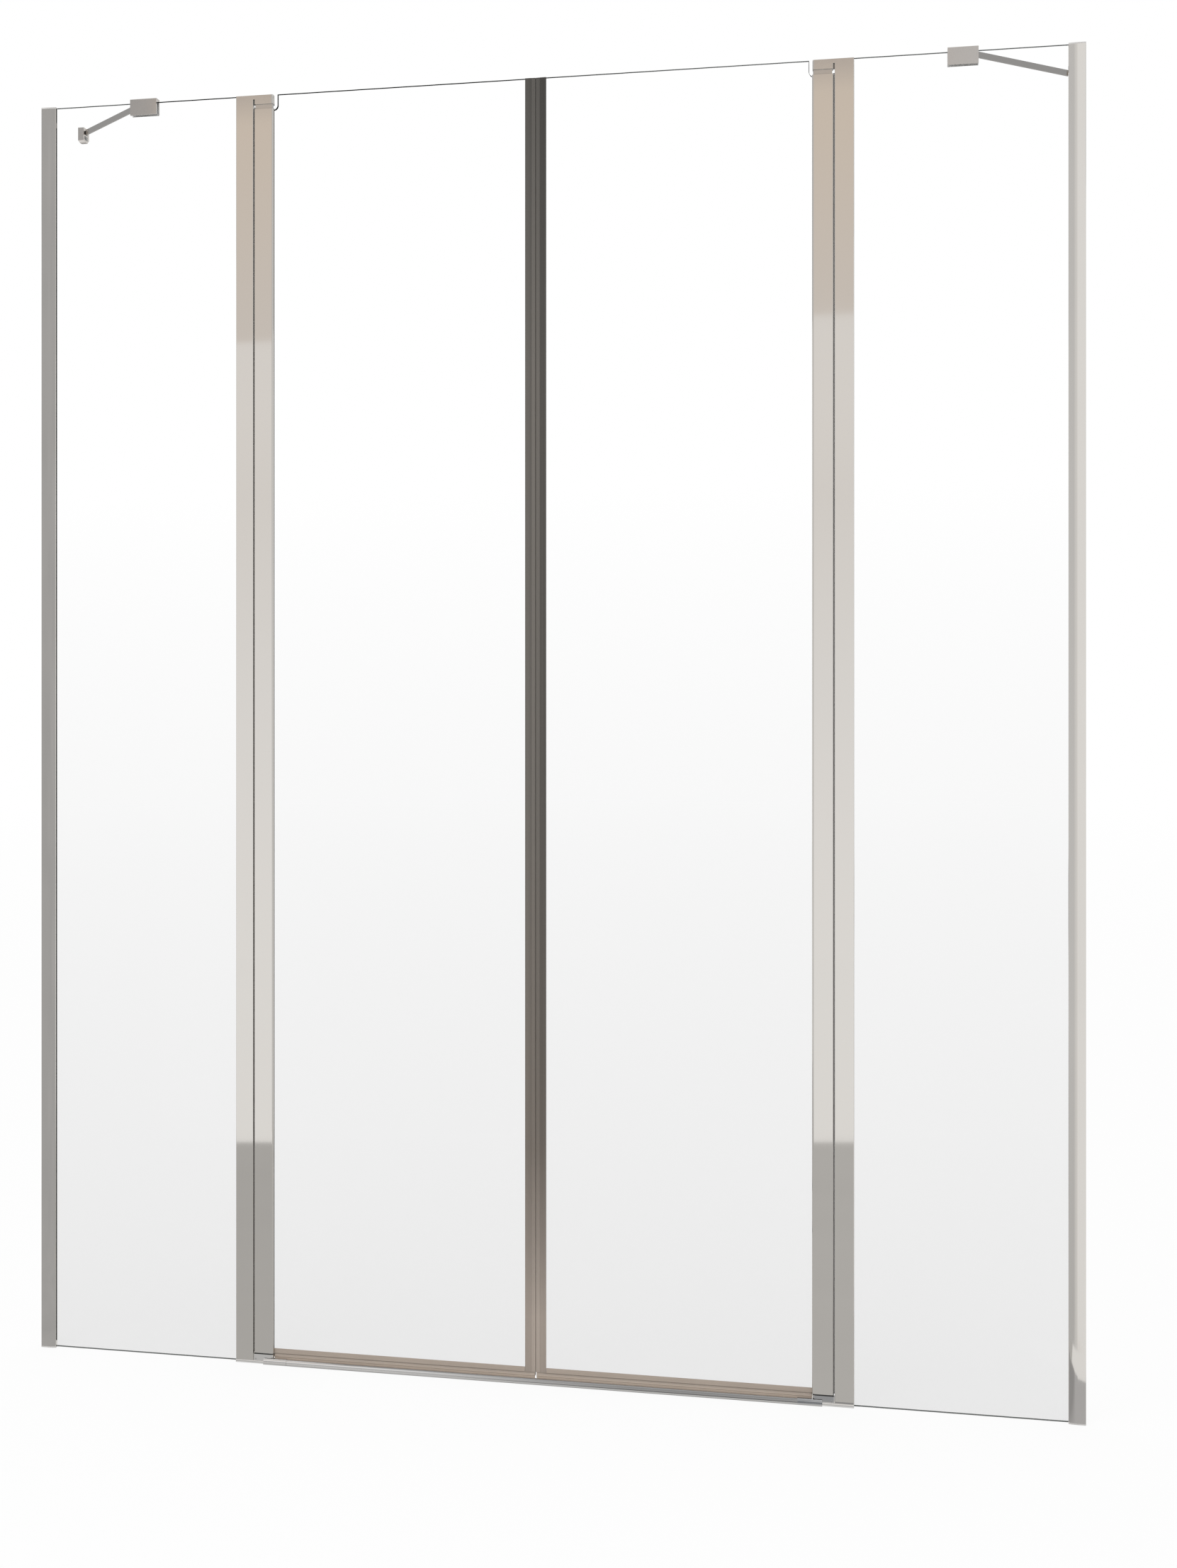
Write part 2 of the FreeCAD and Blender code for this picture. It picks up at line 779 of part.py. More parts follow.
def magnetic_seal():
    outer = glass_half + seal_clip_wall
    radius = seal_edge_radius
    z0 = seal_bottom + seal_end_gap
    rear_x0 = magnetic_seal_x0 + magnetic_rear_setback
    clip = prism([
        (magnetic_seal_x0, -outer, radius),
        (magnet_bulb_x, -outer, radius),
        (magnet_bulb_x, outer, radius),
        (rear_x0, outer, radius),
        (rear_x0, glass_half, 0.0),
        (door_glass_x1, glass_half, 0.0),
        (door_glass_x1, -glass_half, 0.0),
        (magnetic_seal_x0, -glass_half, 0.0),
    ], "z", z0, glass_height)
    half = magnet_bulb_half_depth
    bulb = prism(plain(magnet_bulb_x - seal_clip_wall / 2, magnet_face_x, -half, half, magnet_bulb_radius),
                 "z", z0, glass_height)
    bulb = bulb.cut(box(door_glass_x1, magnet_bulb_x, -half, half, z0, glass_height))
    seal = clip.fuse(bulb).removeSplitter()
    hollow_x0 = magnet_bulb_x + magnet_bulb_wall
    hollow_x1 = magnet_face_x - magnet_bulb_wall
    hollow = half - magnet_bulb_wall
    return seal.cut(box(hollow_x0, hollow_x1, -hollow, hollow, z0, glass_height))


def magnet_strip():
    gap = magnet_bulb_wall + magnet_clearance
    half = magnet_bulb_half_depth - gap
    z0 = seal_bottom + seal_end_gap + magnet_end_gap
    return box(magnet_bulb_x + gap, magnet_face_x - gap, -half, half, z0, glass_height - magnet_end_gap)


# Threshold

threshold_step = threshold_lip_height + threshold_groove_height


def threshold_section(grow):
    """Lip, groove, half-round bar and flat flange, all a little larger for the end caps."""
    front = -threshold_front - grow
    groove = -threshold_front + threshold_groove - grow
    bar_front = (front + groove) / 2
    bar_back = bar_front + threshold_round_depth + 2 * grow
    top = threshold_height + grow
    return [
        (front, 0.0, 0.0),
        (front, threshold_lip_height + grow, 0.4),
        (groove, threshold_lip_height + grow, 0.0),
        (groove, threshold_step + grow, 0.0),
        (bar_front, threshold_step + grow, 0.3),
        (bar_front, top, threshold_round),
        (bar_back, top, threshold_round),
        (bar_back, threshold_flange + grow, 0.5),
        (threshold_back + grow, threshold_flange + grow, 0.5),
        (threshold_back + grow, 0.0, 0.0),
    ]


def threshold_strip():
    end = threshold_half_length - end_cap_length + end_cap_socket
    return prism(threshold_section(0.0), "x", -end, end)


def threshold_end_caps():
    x0 = -threshold_half_length
    x1 = x0 + end_cap_length
    cap = prism(threshold_section(end_cap_grow), "x", x0, x1)
    cap = cap.cut(prism(threshold_section(0.0), "x", x1 - end_cap_socket, x1))
    foot_x1 = door_x1 + end_cap_clearance
    foot_y0 = base_front_y - end_cap_clearance
    room = box(x0, foot_x1, foot_y0, back_y, 0.0, threshold_height + 2 * end_cap_grow)
    return both([cap.cut(room)])


# Stay between the fixed pane and the wall

eye_z0 = stay_height - eye_height / 2
eye_z1 = stay_height + eye_height / 2
clamp_bottom = glass_height - clamp_drop
lug_bottom = glass_height - lug_drop
bracket_z1 = stay_height + bracket_top
bracket_z0 = bracket_z1 - bracket_height
bracket_y1 = bracket_y0 + bracket_depth
bracket_floor = eye_z0 - eye_clearance - bracket_web
clamp_screw_seat = Vector(clamp_x0 + clamp_screw_offset, lug_y, glass_height - clamp_screw_drop)
bracket_screw_seat = Vector(
    wall_x + bracket_plate,
    (bracket_y0 + bracket_front_wall + bracket_y1 - bracket_back_wall) / 2,
    bracket_floor - bracket_screw_room / 2,
)


def stay_clamp():
    pad_half = glass_half + clamp_pad
    edge = clamp_edge_radius
    clamp = prism([
        (-pad_half - clamp_front_jaw, clamp_bottom, edge),
        (-pad_half, clamp_bottom, 0.0),
        (-pad_half, glass_height + clamp_pad, 0.0),
        (pad_half, glass_height + clamp_pad, 0.0),
        (pad_half, clamp_bottom, 0.0),
        (lug_y, clamp_bottom, clamp_rear_radius),
        (lug_y, clamp_top, edge),
        (-pad_half - clamp_front_jaw, clamp_top, edge),
    ], "x", clamp_x0, clamp_x0 + clamp_length)
    lug_x0 = clamp_x0 + lug_start
    lug_x1 = lug_x0 + lug_width
    lug_y1 = lug_y + lug_depth
    root_y = pad_half + clamp_rear_jaw / 2
    corners = plain(lug_x0, lug_x1, root_y, lug_y1)
    corners[2] = (lug_x1, lug_y1, lug_radius)
    corners[3] = (lug_x0, lug_y1, lug_radius)
    lug = prism(corners, "z", lug_bottom, clamp_top - edge)
    clamp = clamp.fuse(lug).removeSplitter()
    clamp = clamp.cut(box(lug_x0, lug_x1, lug_y, lug_y1, eye_z0 - eye_clearance, eye_z1 + eye_clearance))
    pin_x = clamp_pivot.x
    pin_y = clamp_pivot.y
    clamp = clamp.cut(upright(stay_pin_radius, pin_x, pin_y, lug_bottom, clamp_top))
    hole = Part.makeCylinder(clamp_screw_radius, clamp_rear_jaw, clamp_screw_seat, Vector(0, -1, 0))
    return clamp.cut(hole)


def clamp_pads():
    pad_half = glass_half + clamp_pad
    x1 = clamp_x0 + clamp_length
    pad = box(clamp_x0, x1, -pad_half, pad_half, clamp_bottom + clamp_pad, glass_height + clamp_pad)
    return both([pad.cut(box(clamp_x0, x1, -glass_half, glass_half, clamp_bottom, glass_height))])


def clamp_screws():
    return both([
        screw(clamp_screw_seat, (0, -1, 0), clamp_screw_head_radius, clamp_screw_head_height,
              clamp_screw_radius, clamp_rear_jaw)
    ])


def stay_bar():
    run = bracket_pivot - clamp_pivot
    length = run.Length
    half = bar_thickness / 2
    z0 = stay_height - bar_height / 2
    z1 = stay_height + bar_height / 2
    bar = box(bar_shoulder_clamp, length - bar_shoulder_wall, -half, half, z0, z1)
    tongue = box(0.0, length, -half, half, eye_z0, eye_z1)
    eyes = [upright(eye_radius, x, 0.0, eye_z0, eye_z1) for x in (0.0, length)]
    bar = bar.fuse([tongue] + eyes).removeSplitter()
    for x in (0.0, length):
        bar = bar.cut(upright(stay_pin_radius, x, 0.0, eye_z0, eye_z1))
    bar.rotate(Vector(0, 0, 0), Vector(0, 0, 1), math.degrees(math.atan2(run.y, run.x)))
    return bar.translated(Vector(clamp_pivot.x, clamp_pivot.y, 0))


def stay_pins():
    clamp_pin = upright(stay_pin_radius, clamp_pivot.x, clamp_pivot.y, lug_bottom,
                        clamp_top - clamp_edge_radius - stay_pin_recess)
    bracket_pin = upright(stay_pin_radius, bracket_pivot.x, bracket_pivot.y, bracket_floor,
                          bracket_z1 - stay_pin_recess)
    return both([clamp_pin, bracket_pin])


def stay_bracket():
    run = bracket_chamfer_run
    outline = [
        (bracket_y0, bracket_z0 + bracket_front_chamfer_rise, 0.0),
        (bracket_y0 + run, bracket_z0, 0.0),
        (bracket_y1 - run, bracket_z0, 0.0),
        (bracket_y1, bracket_z0 + bracket_back_chamfer_rise, 0.0),
        (bracket_y1, bracket_z1, profile_edge_radius),
        (bracket_y0, bracket_z1, profile_edge_radius),
    ]
    x1 = wall_x + bracket_thickness
    bracket = prism(outline, "x", wall_x, x1)
    pocket_y0 = bracket_y0 + bracket_front_wall
    pocket_y1 = bracket_y1 - bracket_back_wall
    pocket_x0 = wall_x + bracket_plate
    bracket = bracket.cut(
        box(pocket_x0, x1, pocket_y0, pocket_y1, eye_z0 - eye_clearance, eye_z1 + eye_clearance)
    )
    bracket = bracket.cut(
        box(pocket_x0, x1, pocket_y0, pocket_y1, bracket_floor - bracket_screw_room, bracket_floor)
    )
    bracket = bracket.cut(
        upright(stay_pin_radius, bracket_pivot.x, bracket_pivot.y, bracket_floor, bracket_z1)
    )
    hole = Part.makeCylinder(bracket_screw_radius, bracket_plate, bracket_screw_seat, Vector(-1, 0, 0))
    return bracket.cut(hole)


def stay_screws():
    return both([
        screw(bracket_screw_seat, (-1, 0, 0), bracket_screw_head_radius, bracket_screw_head_height,
              bracket_screw_radius, bracket_plate)
    ])


# Pieces that exist once on each side
for build in (
    wall_channel, wall_profile, wall_gasket, fixed_glass, hinge_post, post_gasket, base_plate, foot_block,
    hinge_head, upper_bush, spindle, neck, lower_pin, fixed_cam, cam_follower, door_profile, lip_seal,
    door_gasket, door_glass, bottom_seal, magnetic_seal, magnet_strip, stay_clamp, stay_bar, stay_bracket,
):
    left = build()
    left.exportStep("parts/left_" + build.__name__ + ".step")
    mirrored(left).exportStep("parts/right_" + build.__name__ + ".step")

# Pieces that span the screen, and small parts of both sides
for build in (
    wall_profile_caps, lock_screws, foot_screws, head_screws, clamp_pads, clamp_screws, stay_pins,
    stay_screws, threshold_strip, threshold_end_caps,
):
    build().exportStep("parts/" + build.__name__ + ".step")
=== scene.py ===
import math

import bmesh
import bpy
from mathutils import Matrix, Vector


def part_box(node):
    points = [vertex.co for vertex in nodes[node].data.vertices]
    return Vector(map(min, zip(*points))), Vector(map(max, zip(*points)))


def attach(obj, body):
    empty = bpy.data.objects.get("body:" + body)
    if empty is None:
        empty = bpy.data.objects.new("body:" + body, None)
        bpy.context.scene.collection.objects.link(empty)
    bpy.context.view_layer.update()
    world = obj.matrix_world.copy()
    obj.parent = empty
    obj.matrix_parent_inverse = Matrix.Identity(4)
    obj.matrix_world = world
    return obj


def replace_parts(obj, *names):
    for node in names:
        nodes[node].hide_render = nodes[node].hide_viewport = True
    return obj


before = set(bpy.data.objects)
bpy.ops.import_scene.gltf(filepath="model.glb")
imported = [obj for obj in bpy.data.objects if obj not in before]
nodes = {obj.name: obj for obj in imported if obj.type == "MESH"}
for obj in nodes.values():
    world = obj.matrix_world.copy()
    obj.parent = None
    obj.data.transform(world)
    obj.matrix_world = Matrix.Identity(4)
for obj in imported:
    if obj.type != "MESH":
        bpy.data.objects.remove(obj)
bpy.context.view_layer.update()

# Wall channels: extruded aluminium as it leaves the press, screwed to the side walls.
# They are hidden inside the wall profiles, and show dull grey only at the ends.
sides = ("left", "right")


class Shade:
    """One output of a shader tree. Arithmetic on it adds Math nodes to that tree."""

    def __init__(self, tree, socket=None):
        self.tree = tree
        self.socket = socket

    def make(self, kind, settings=None, sockets=None, output=0):
        """Any other node: its settings first, then the values or links of its sockets."""
        node = self.tree.nodes.new(kind)
        for name, value in (settings or {}).items():
            if name == "stops":
                ramp = node.color_ramp
                while len(ramp.elements) < len(value):
                    ramp.elements.new(0.5)
                for element, (place, colour) in zip(ramp.elements, value):
                    element.position = place
                    element.color = (*colour, 1.0)
            else:
                setattr(node, name, value)
        for name, value in (sockets or {}).items():
            if isinstance(value, Shade):
                self.tree.links.new(value.socket, node.inputs[name])
            else:
                node.inputs[name].default_value = value
        return Shade(self.tree, node.outputs[output])

    def maths(self, operation, *values):
        return self.make("ShaderNodeMath", {"operation": operation}, dict(enumerate(values)))

    def __add__(self, other):
        return self.maths("ADD", self, other)

    __radd__ = __add__

    def __sub__(self, other):
        return self.maths("SUBTRACT", self, other)

    def __rsub__(self, other):
        return self.maths("SUBTRACT", other, self)

    def __mul__(self, other):
        return self.maths("MULTIPLY", self, other)

    __rmul__ = __mul__

    def __truediv__(self, other):
        return self.maths("DIVIDE", self, other)

    def __pow__(self, other):
        return self.maths("POWER", self, other)

    def __abs__(self):
        return self.maths("ABSOLUTE", self)

    def __gt__(self, other):
        return self.maths("GREATER_THAN", self, other)

    def __lt__(self, other):
        return self.maths("LESS_THAN", self, other)

    def between(self, start, end):
        """0 at start and before it, 1 at end and past it. Start may be the higher of the two."""
        share = (self - start) / (end - start)
        return self.maths("MAXIMUM", self.maths("MINIMUM", share, 1.0), 0.0)

    def own_place(self):
        """The piece's own coordinates, in metres."""
        return self.make("ShaderNodeTexCoord", None, None, output=3)

    def parts(self):
        split = self.make("ShaderNodeSeparateXYZ", None, {0: self})
        return [Shade(self.tree, part) for part in split.socket.node.outputs]

    def noise(self, stretch, detail=3.0):
        """Even noise between 0 and 1 with its own scale along each axis of the piece."""
        place = self.make("ShaderNodeVectorMath", {"operation": "MULTIPLY"}, {0: self, 1: stretch})
        return self.make("ShaderNodeTexNoise", None, {"Vector": place, "Scale": 1.0, "Detail": detail})

    def blend(self, first, second):
        """Colour mix by this factor."""
        ends = [c if isinstance(c, Shade) else (*c, 1.0) for c in (first, second)]
        return self.make("ShaderNodeMix", {"data_type": "RGBA"}, {0: self, 6: ends[0], 7: ends[1]}, output=2)

    def ramp(self, *stops):
        """Colour at this place of a row of stops, each a place from 0 to 1 and its colour."""
        return self.make("ShaderNodeValToRGB", {"stops": stops}, {0: self})

    def tint(self, colour):
        """A colour made lighter or darker by this factor."""
        return self.make("ShaderNodeVectorMath", {"operation": "SCALE"}, {0: colour, "Scale": self})

    def bumps(self, strength, height):
        """Surface normal with this relief, its height in metres."""
        return self.make("ShaderNodeBump", None, {"Strength": strength, "Distance": height, "Height": self})


def material(name, **sockets):
    """A Principled material, with its shader node and the piece's own coordinates."""
    made = bpy.data.materials.new(name)
    made.use_nodes = True
    shader = made.node_tree.nodes["Principled BSDF"]
    for socket, value in sockets.items():
        shader.inputs[socket.replace("_", " ")].default_value = value
    return made, shader, Shade(made.node_tree).own_place()


def feed(shader, socket, value):
    value.tree.links.new(value.socket, shader.inputs[socket])


def dress(names, finish):
    for name in names:
        nodes[name].data.materials.clear()
        nodes[name].data.materials.append(finish)


def both(*pieces):
    """Names of these pieces on the left and on the right."""
    return [side + "_" + piece for side in sides for piece in pieces]


def shaded(colour, share):
    return tuple(c * share for c in colour)


def drawn_metal(name, colour, roughness, lines, mottle, along=(700.0, 700.0, 2.0)):
    """Metal drawn through a die: fine lines along the bar, and a soft mottling from handling."""
    made, shader, here = material(name, Metallic=1.0)
    die_lines = here.noise(along)
    patches = here.noise((14.0, 14.0, 7.0), detail=5.0)
    handling = 0.7 * patches + 0.3 * die_lines
    feed(shader, "Roughness", roughness + lines * (die_lines - 0.5) + 2.0 * lines * (patches - 0.5))
    feed(shader, "Base Color", handling.blend(shaded(colour, 1 - mottle), colour))
    feed(shader, "Normal", die_lines.bumps(strength=0.05, height=0.0001))
    return made


mill_aluminium = drawn_metal("mill_aluminium", (0.52, 0.52, 0.52), roughness=0.38, lines=0.10, mottle=0.20)
dress(both("wall_channel"), mill_aluminium)

# Wall profiles: extruded aluminium, polished and anodised in a warm stainless shade.
# They are pushed over the channels and hold the outer edges of the fixed panes.
warm_metal = (0.70, 0.675, 0.64)
wall_metal = drawn_metal("polished_wall_profile", warm_metal, roughness=0.07, lines=0.03, mottle=0.06)
dress(both("wall_profile"), wall_metal)


# End caps of the wall profiles: moulded plastic in the colour of the metal, pressed on at top and bottom.
# The mould leaves a fine even grain.
def moulded_plastic(name, colour, roughness, grain):
    made, shader, here = material(name)
    specks = here.noise((1400.0, 1400.0, 1400.0), detail=2.0)
    flow = here.noise((60.0, 60.0, 25.0), detail=4.0)
    feed(shader, "Base Color", flow.blend(shaded(colour, 0.88), colour))
    feed(shader, "Roughness", roughness + 0.12 * (flow - 0.5))
    feed(shader, "Normal", specks.bumps(strength=grain, height=0.0001))
    return made


dress(["wall_profile_caps"], moulded_plastic("cap_plastic", (0.60, 0.585, 0.57), roughness=0.32, grain=0.25))


# Screws with a hexagon socket: turned from stainless steel, left bright from the tool.
# They lock the wall profiles, the hinge heads, the foot blocks, the clamps and the wall brackets.
def turned_steel(name, colour, roughness):
    made, shader, here = material(name, Metallic=1.0)
    rings = here.noise((2500.0, 2500.0, 2500.0), detail=2.0)
    stain = here.noise((180.0, 180.0, 180.0), detail=4.0)
    feed(shader, "Base Color", stain.blend(shaded(colour, 0.82), colour))
    feed(shader, "Roughness", roughness + 0.16 * (rings - 0.5) + 0.10 * (stain - 0.5))
    return made


screw_steel = turned_steel("screw_steel", (0.66, 0.65, 0.64), roughness=0.24)
dress(["lock_screws", "foot_screws", "head_screws", "clamp_screws", "stay_screws"], screw_steel)

# Glazing gaskets: soft grey rubber strip wrapped round the glass edge in the groove of each profile.
# It ends just inside the metal edge. Rubber is matt, with fine talc on it.
gasket_grey = (0.22, 0.22, 0.215)
gasket_rubber, shader, here = material("gasket_rubber", Specular_IOR_Level=0.35)
talc = here.noise((900.0, 900.0, 120.0), detail=4.0)
feed(shader, "Base Color", talc.blend(shaded(gasket_grey, 0.75), shaded(gasket_grey, 1.2)))
feed(shader, "Roughness", 0.55 + 0.2 * talc)
feed(shader, "Normal", talc.bumps(strength=0.15, height=0.0001))
dress(both("wall_gasket", "post_gasket", "door_gasket"), gasket_rubber)

# Fixed panes: 6 mm clear toughened glass, cut to size, with ground edges and a small arris all round.
# The glass turns greyer towards the floor. The ground edge carries a painted reflection: dark through the
# glass, darkest left of the middle, and paler beside the right wall and at the floor.
scene = bpy.context.scene
glass_half, arris = 0.003, 0.0006
lower_grey_top, lower_grey_bottom, lower_grey_strength = 1.37, 0.05, 0.10
glancing_power, glancing_strength = 5.0, 0.7

clear_glass, shader, here = material("clear_glass", Roughness=0.03, Base_Color=(0.12, 0.12, 0.12, 1.0))
# The glass turns greyer towards the floor, through more opacity lower down.
lower_grey = lower_grey_strength * here.parts()[2].between(lower_grey_top, lower_grey_bottom)
cloud = here.noise((3.0, 3.0, 2.0), detail=2.0)
facing_away = here.make("ShaderNodeLayerWeight", None, {"Blend": 0.5}, output=1)
glancing = glancing_strength * facing_away ** glancing_power
feed(shader, "Alpha", lower_grey * (0.97 + 0.06 * cloud) + glancing)

edge_pale, edge_dark, black = (0.205, 0.215, 0.21), (0.012, 0.015, 0.013), (0.0, 0.0, 0.0)
edge_span = 0.80
top_zone, top_zone_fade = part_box("left_fixed_glass")[1].z - 0.0045, 0.003
pale_below, dark_above = 0.5, 1.5

ground_edge, shader, here = material("ground_glass_edge", Specular_IOR_Level=0.0)
across, depth, height = here.parts()
# Painted reflection: the edge's tone, dark along the top and pale at the floor, stands in for what it
# reflects.
top_edge_reflection = across.between(-edge_span, edge_span).ramp(
    (0.085, shaded(edge_pale, 0.75)), (0.11, edge_dark), (0.44, edge_dark),
    (0.53, shaded(edge_pale, 0.5)), (0.69, edge_pale), (1.0, edge_pale))
edge_reflection = height.between(pale_below, dark_above).blend(shaded(edge_pale, 1.1), edge_dark)
edge_reflection = height.between(top_zone - top_zone_fade, top_zone).blend(edge_reflection, top_edge_reflection)
grinding = here.noise((1200.0, 1200.0, 1200.0))
feed(shader, "Base Color", (0.3 * grinding).blend(edge_reflection, black))
feed(shader, "Roughness", 0.16 + 0.12 * grinding)


def finished(name, made, finishes, body):
    """Turns a bmesh into a piece that rides on a body."""
    bmesh.ops.recalc_face_normals(made, faces=made.faces)
    mesh = bpy.data.meshes.new(name)
    made.to_mesh(mesh)
    made.free()
    for finish in finishes:
        mesh.materials.append(finish)
    piece = bpy.data.objects.new(name, mesh)
    scene.collection.objects.link(piece)
    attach(piece, body)
    return piece


def pane(name, outline, body):
    """Glass pane from its outline (x, z), anticlockwise from the front, with an arris on both faces."""
    count = len(outline)
    points = [Vector(p) for p in outline]
    inner = []
    for i, point in enumerate(points):
        back = (point - points[i - 1]).normalized()
        ahead = (points[(i + 1) % count] - point).normalized()
        first = Vector((-back.y, back.x))
        second = Vector((-ahead.y, ahead.x))
        inner.append(point + (first + second) * (arris / (1.0 + first.dot(second))))
    rings = [
        (inner, -glass_half),
        (points, arris - glass_half),
        (points, glass_half - arris),
        (inner, glass_half),
    ]
    made = bmesh.new()
    verts = [[made.verts.new((p.x, y, p.y)) for p in ring] for ring, y in rings]
    made.faces.new(verts[0])
    made.faces.new(verts[3][::-1])
    rear_arris = 2
    for level in range(3):
        near, far = verts[level], verts[level + 1]
        for i in range(count):
            j = (i + 1) % count
            face = made.faces.new((near[j], near[i], far[i], far[j]))
            face.material_index = 0 if level == rear_arris else 1
    return finished(name, made, (clear_glass, ground_edge), body)


for side in sides:
    low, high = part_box(side + "_fixed_glass")
    outline = [(low.x, low.z), (high.x, low.z), (high.x, high.z), (low.x, high.z)]
    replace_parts(pane(side + "_fixed_pane", outline, "frame"), side + "_fixed_glass")

# Hinge posts: extruded aluminium, polished and anodised, standing on the base plates.
# They hold the inner edges of the fixed panes and carry the hinge heads.
profile_metal = drawn_metal("polished_profile", warm_metal, roughness=0.045, lines=0.012, mottle=0.02)
dress(both("hinge_post"), profile_metal)


# Base plates and foot blocks: zinc castings with bright chrome, screwed to the posts' feet.
# The plating follows the casting, so it is a little wavy. The blocks' tops, under the doors, carry painted
# shade, and a painted shadow line runs along the floor.
def plated_casting(name, colour, roughness, mottle, shadow=None):
    """Chrome over a casting. Shadow gives how far a place is darkened, from 0 to 1, from the coordinates."""
    made, shader, here = material(name, Metallic=1.0)
    waves = here.noise((90.0, 90.0, 90.0), detail=2.0)
    haze = here.noise((400.0, 400.0, 400.0), detail=4.0)
    plating = (0.6 * waves + 0.4 * haze).blend(shaded(colour, 1 - mottle), colour)
    if shadow:
        plating = shadow(here).blend(plating, shaded(colour, 0.13))
    feed(shader, "Base Color", plating)
    feed(shader, "Roughness", roughness + 0.05 * (haze - 0.5) + 0.03 * (waves - 0.5))
    feed(shader, "Normal", waves.bumps(strength=0.04, height=0.0005))
    return made


block_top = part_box("left_foot_block")[1].z
floor_line_top, floor_line_full = 0.001, 0.0006


# Painted shadow along the floor, and painted shade on the blocks' tops where the hinge gap shows them.
def foot_shadow(here):
    height = here.parts()[2]
    floor_line = height.between(floor_line_top, floor_line_full)
    shaded_top = height.between(block_top - 0.0001, block_top - 0.00005)
    return 0.35 * floor_line + 0.95 * shaded_top


foot_colour = (0.80, 0.79, 0.775)
foot_chrome = plated_casting("foot_chrome", foot_colour, roughness=0.08, mottle=0.05, shadow=foot_shadow)
dress(both("base_plate", "foot_block"), foot_chrome)

# Lower pivots: a ground steel pin in each foot block, with a lifting cam of black acetal round it.
# The cam's white half sits in the foot of the door profile, so the door rises as it opens.
pin_steel = turned_steel("pin_steel", (0.60, 0.60, 0.60), roughness=0.20)
dress(both("lower_pin"), pin_steel)
acetal = moulded_plastic("natural_acetal", (0.74, 0.74, 0.72), roughness=0.38, grain=0.08)
dress(both("cam_follower"), acetal)
black_acetal = moulded_plastic("black_acetal", (0.09, 0.088, 0.085), roughness=0.42, grain=0.08)
dress(both("fixed_cam"), black_acetal)

# Hinge heads: castings with bright chrome, set in the tops of the posts and screwed from behind.
# Each holds the bush and the spindle of the upper pivot. The slot beside the block carries painted shade.
slot_low, slot_high = -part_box("left_door_profile")[0].x, -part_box("left_hinge_post")[1].x
slot_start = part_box("left_hinge_head")[0].y + 0.001
slot_fade = 0.0002


# Painted shade in the slot between the post and the head block.
def slot_shadow(here):
    across, depth, height = here.parts()
    away = abs(across)
    within = away.between(slot_low - slot_fade, slot_low) * away.between(slot_high + slot_fade, slot_high)
    return 0.8 * within * depth.between(slot_start, slot_start + slot_fade)


head_chrome = plated_casting("head_chrome", warm_metal, roughness=0.06, mottle=0.03, shadow=slot_shadow)
dress(both("hinge_head"), head_chrome)
dress(both("upper_bush"), acetal)
dress(both("spindle"), pin_steel)

# Necks: chrome sleeves below the hinge heads, on which the door profiles slide up as the doors open.
# Painted shade lines run round both ends of the sleeve.
neck_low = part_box("left_door_profile")[1].z
neck_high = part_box("left_neck")[1].z
neck_line = 0.0016


# Painted shade at the top and bottom ends of the sleeve.
def end_shade_lines(here):
    height = here.parts()[2]
    upper = height.between(neck_high - neck_line, neck_high)
    lower = height.between(neck_low + neck_line, neck_low)
    return 0.1 * upper + 0.45 * lower


neck_colour = (0.62, 0.60, 0.575)
neck_chrome = plated_casting("neck_chrome", neck_colour, roughness=0.10, mottle=0.06, shadow=end_shade_lines)
dress(both("neck"), neck_chrome)

# Door profiles: extruded aluminium with the same finish as the posts, and a rounded nose beside the glass.
# They turn on the spindles and pins, and hold the hinged edges of the door panes.
dress(both("door_profile"), profile_metal)


# Lip seals: a soft grey vinyl lip in the gap between post and door profile.
# It is pushed into the door profile and closes the gap against water.
def soft_vinyl(name, colour, roughness):
    made, shader, here = material(name)
    draw_lines = here.noise((800.0, 800.0, 3.0))
    haze = here.noise((30.0, 30.0, 12.0), detail=4.0)
    marks = 0.5 * draw_lines + 0.5 * haze
    feed(shader, "Base Color", marks.blend(shaded(colour, 0.85), shaded(colour, 1.12)))
    feed(shader, "Roughness", roughness + 0.12 * (haze - 0.5) + 0.08 * (draw_lines - 0.5))
    return made


dress(both("lip_seal"), soft_vinyl("lip_vinyl", (0.50, 0.49, 0.48), roughness=0.5))

# Door panes: the same toughened glass, glazed into the door profiles.
# A rounded notch, cut before toughening, leaves room for the upper hinge.
notch_radius, notch_steps = 0.0074, 10
notch_width, notch_drop = 0.0046, 0.0008

for side in sides:
    low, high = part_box(side + "_door_glass")
    profile_low, profile_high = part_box(side + "_door_profile")
    notch_z = profile_high.z - notch_drop
    if side == "left":
        out, hinge_x, free_x, notch_x = -1.0, low.x, high.x, profile_high.x + notch_width
    else:
        out, hinge_x, free_x, notch_x = 1.0, high.x, low.x, profile_low.x - notch_width
    outline = [(hinge_x, low.z), (free_x, low.z), (free_x, high.z), (notch_x, high.z)]
    for i in range(notch_steps + 1):
        turn = math.radians(90.0 * i / notch_steps)
        outline.append((
            notch_x + out * notch_radius * (1.0 - math.cos(turn)),
            notch_z + notch_radius * (1.0 - math.sin(turn)),
        ))
    outline.append((hinge_x, notch_z))
    if side == "right":
        outline = outline[::-1]
    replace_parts(pane(side + "_door_pane", outline, side + "_door"), side + "_door_glass")

# Bottom seals: extruded brown-grey vinyl, clipped on the lower edges of the doors.
# A hollow bulb closes the gap to the threshold, and a thin drip lip below it hangs behind the bar.
# The bulb and the lip carry painted light, more of it towards the right,
# and the groove above the bulb carries painted shade.
seal_brown = (0.40, 0.335, 0.28)
groove, groove_half = 0.0159, 0.0007
bulb_top, bulb_full = 0.0126, 0.0116
lip_top, lip_full = 0.0096, 0.0088

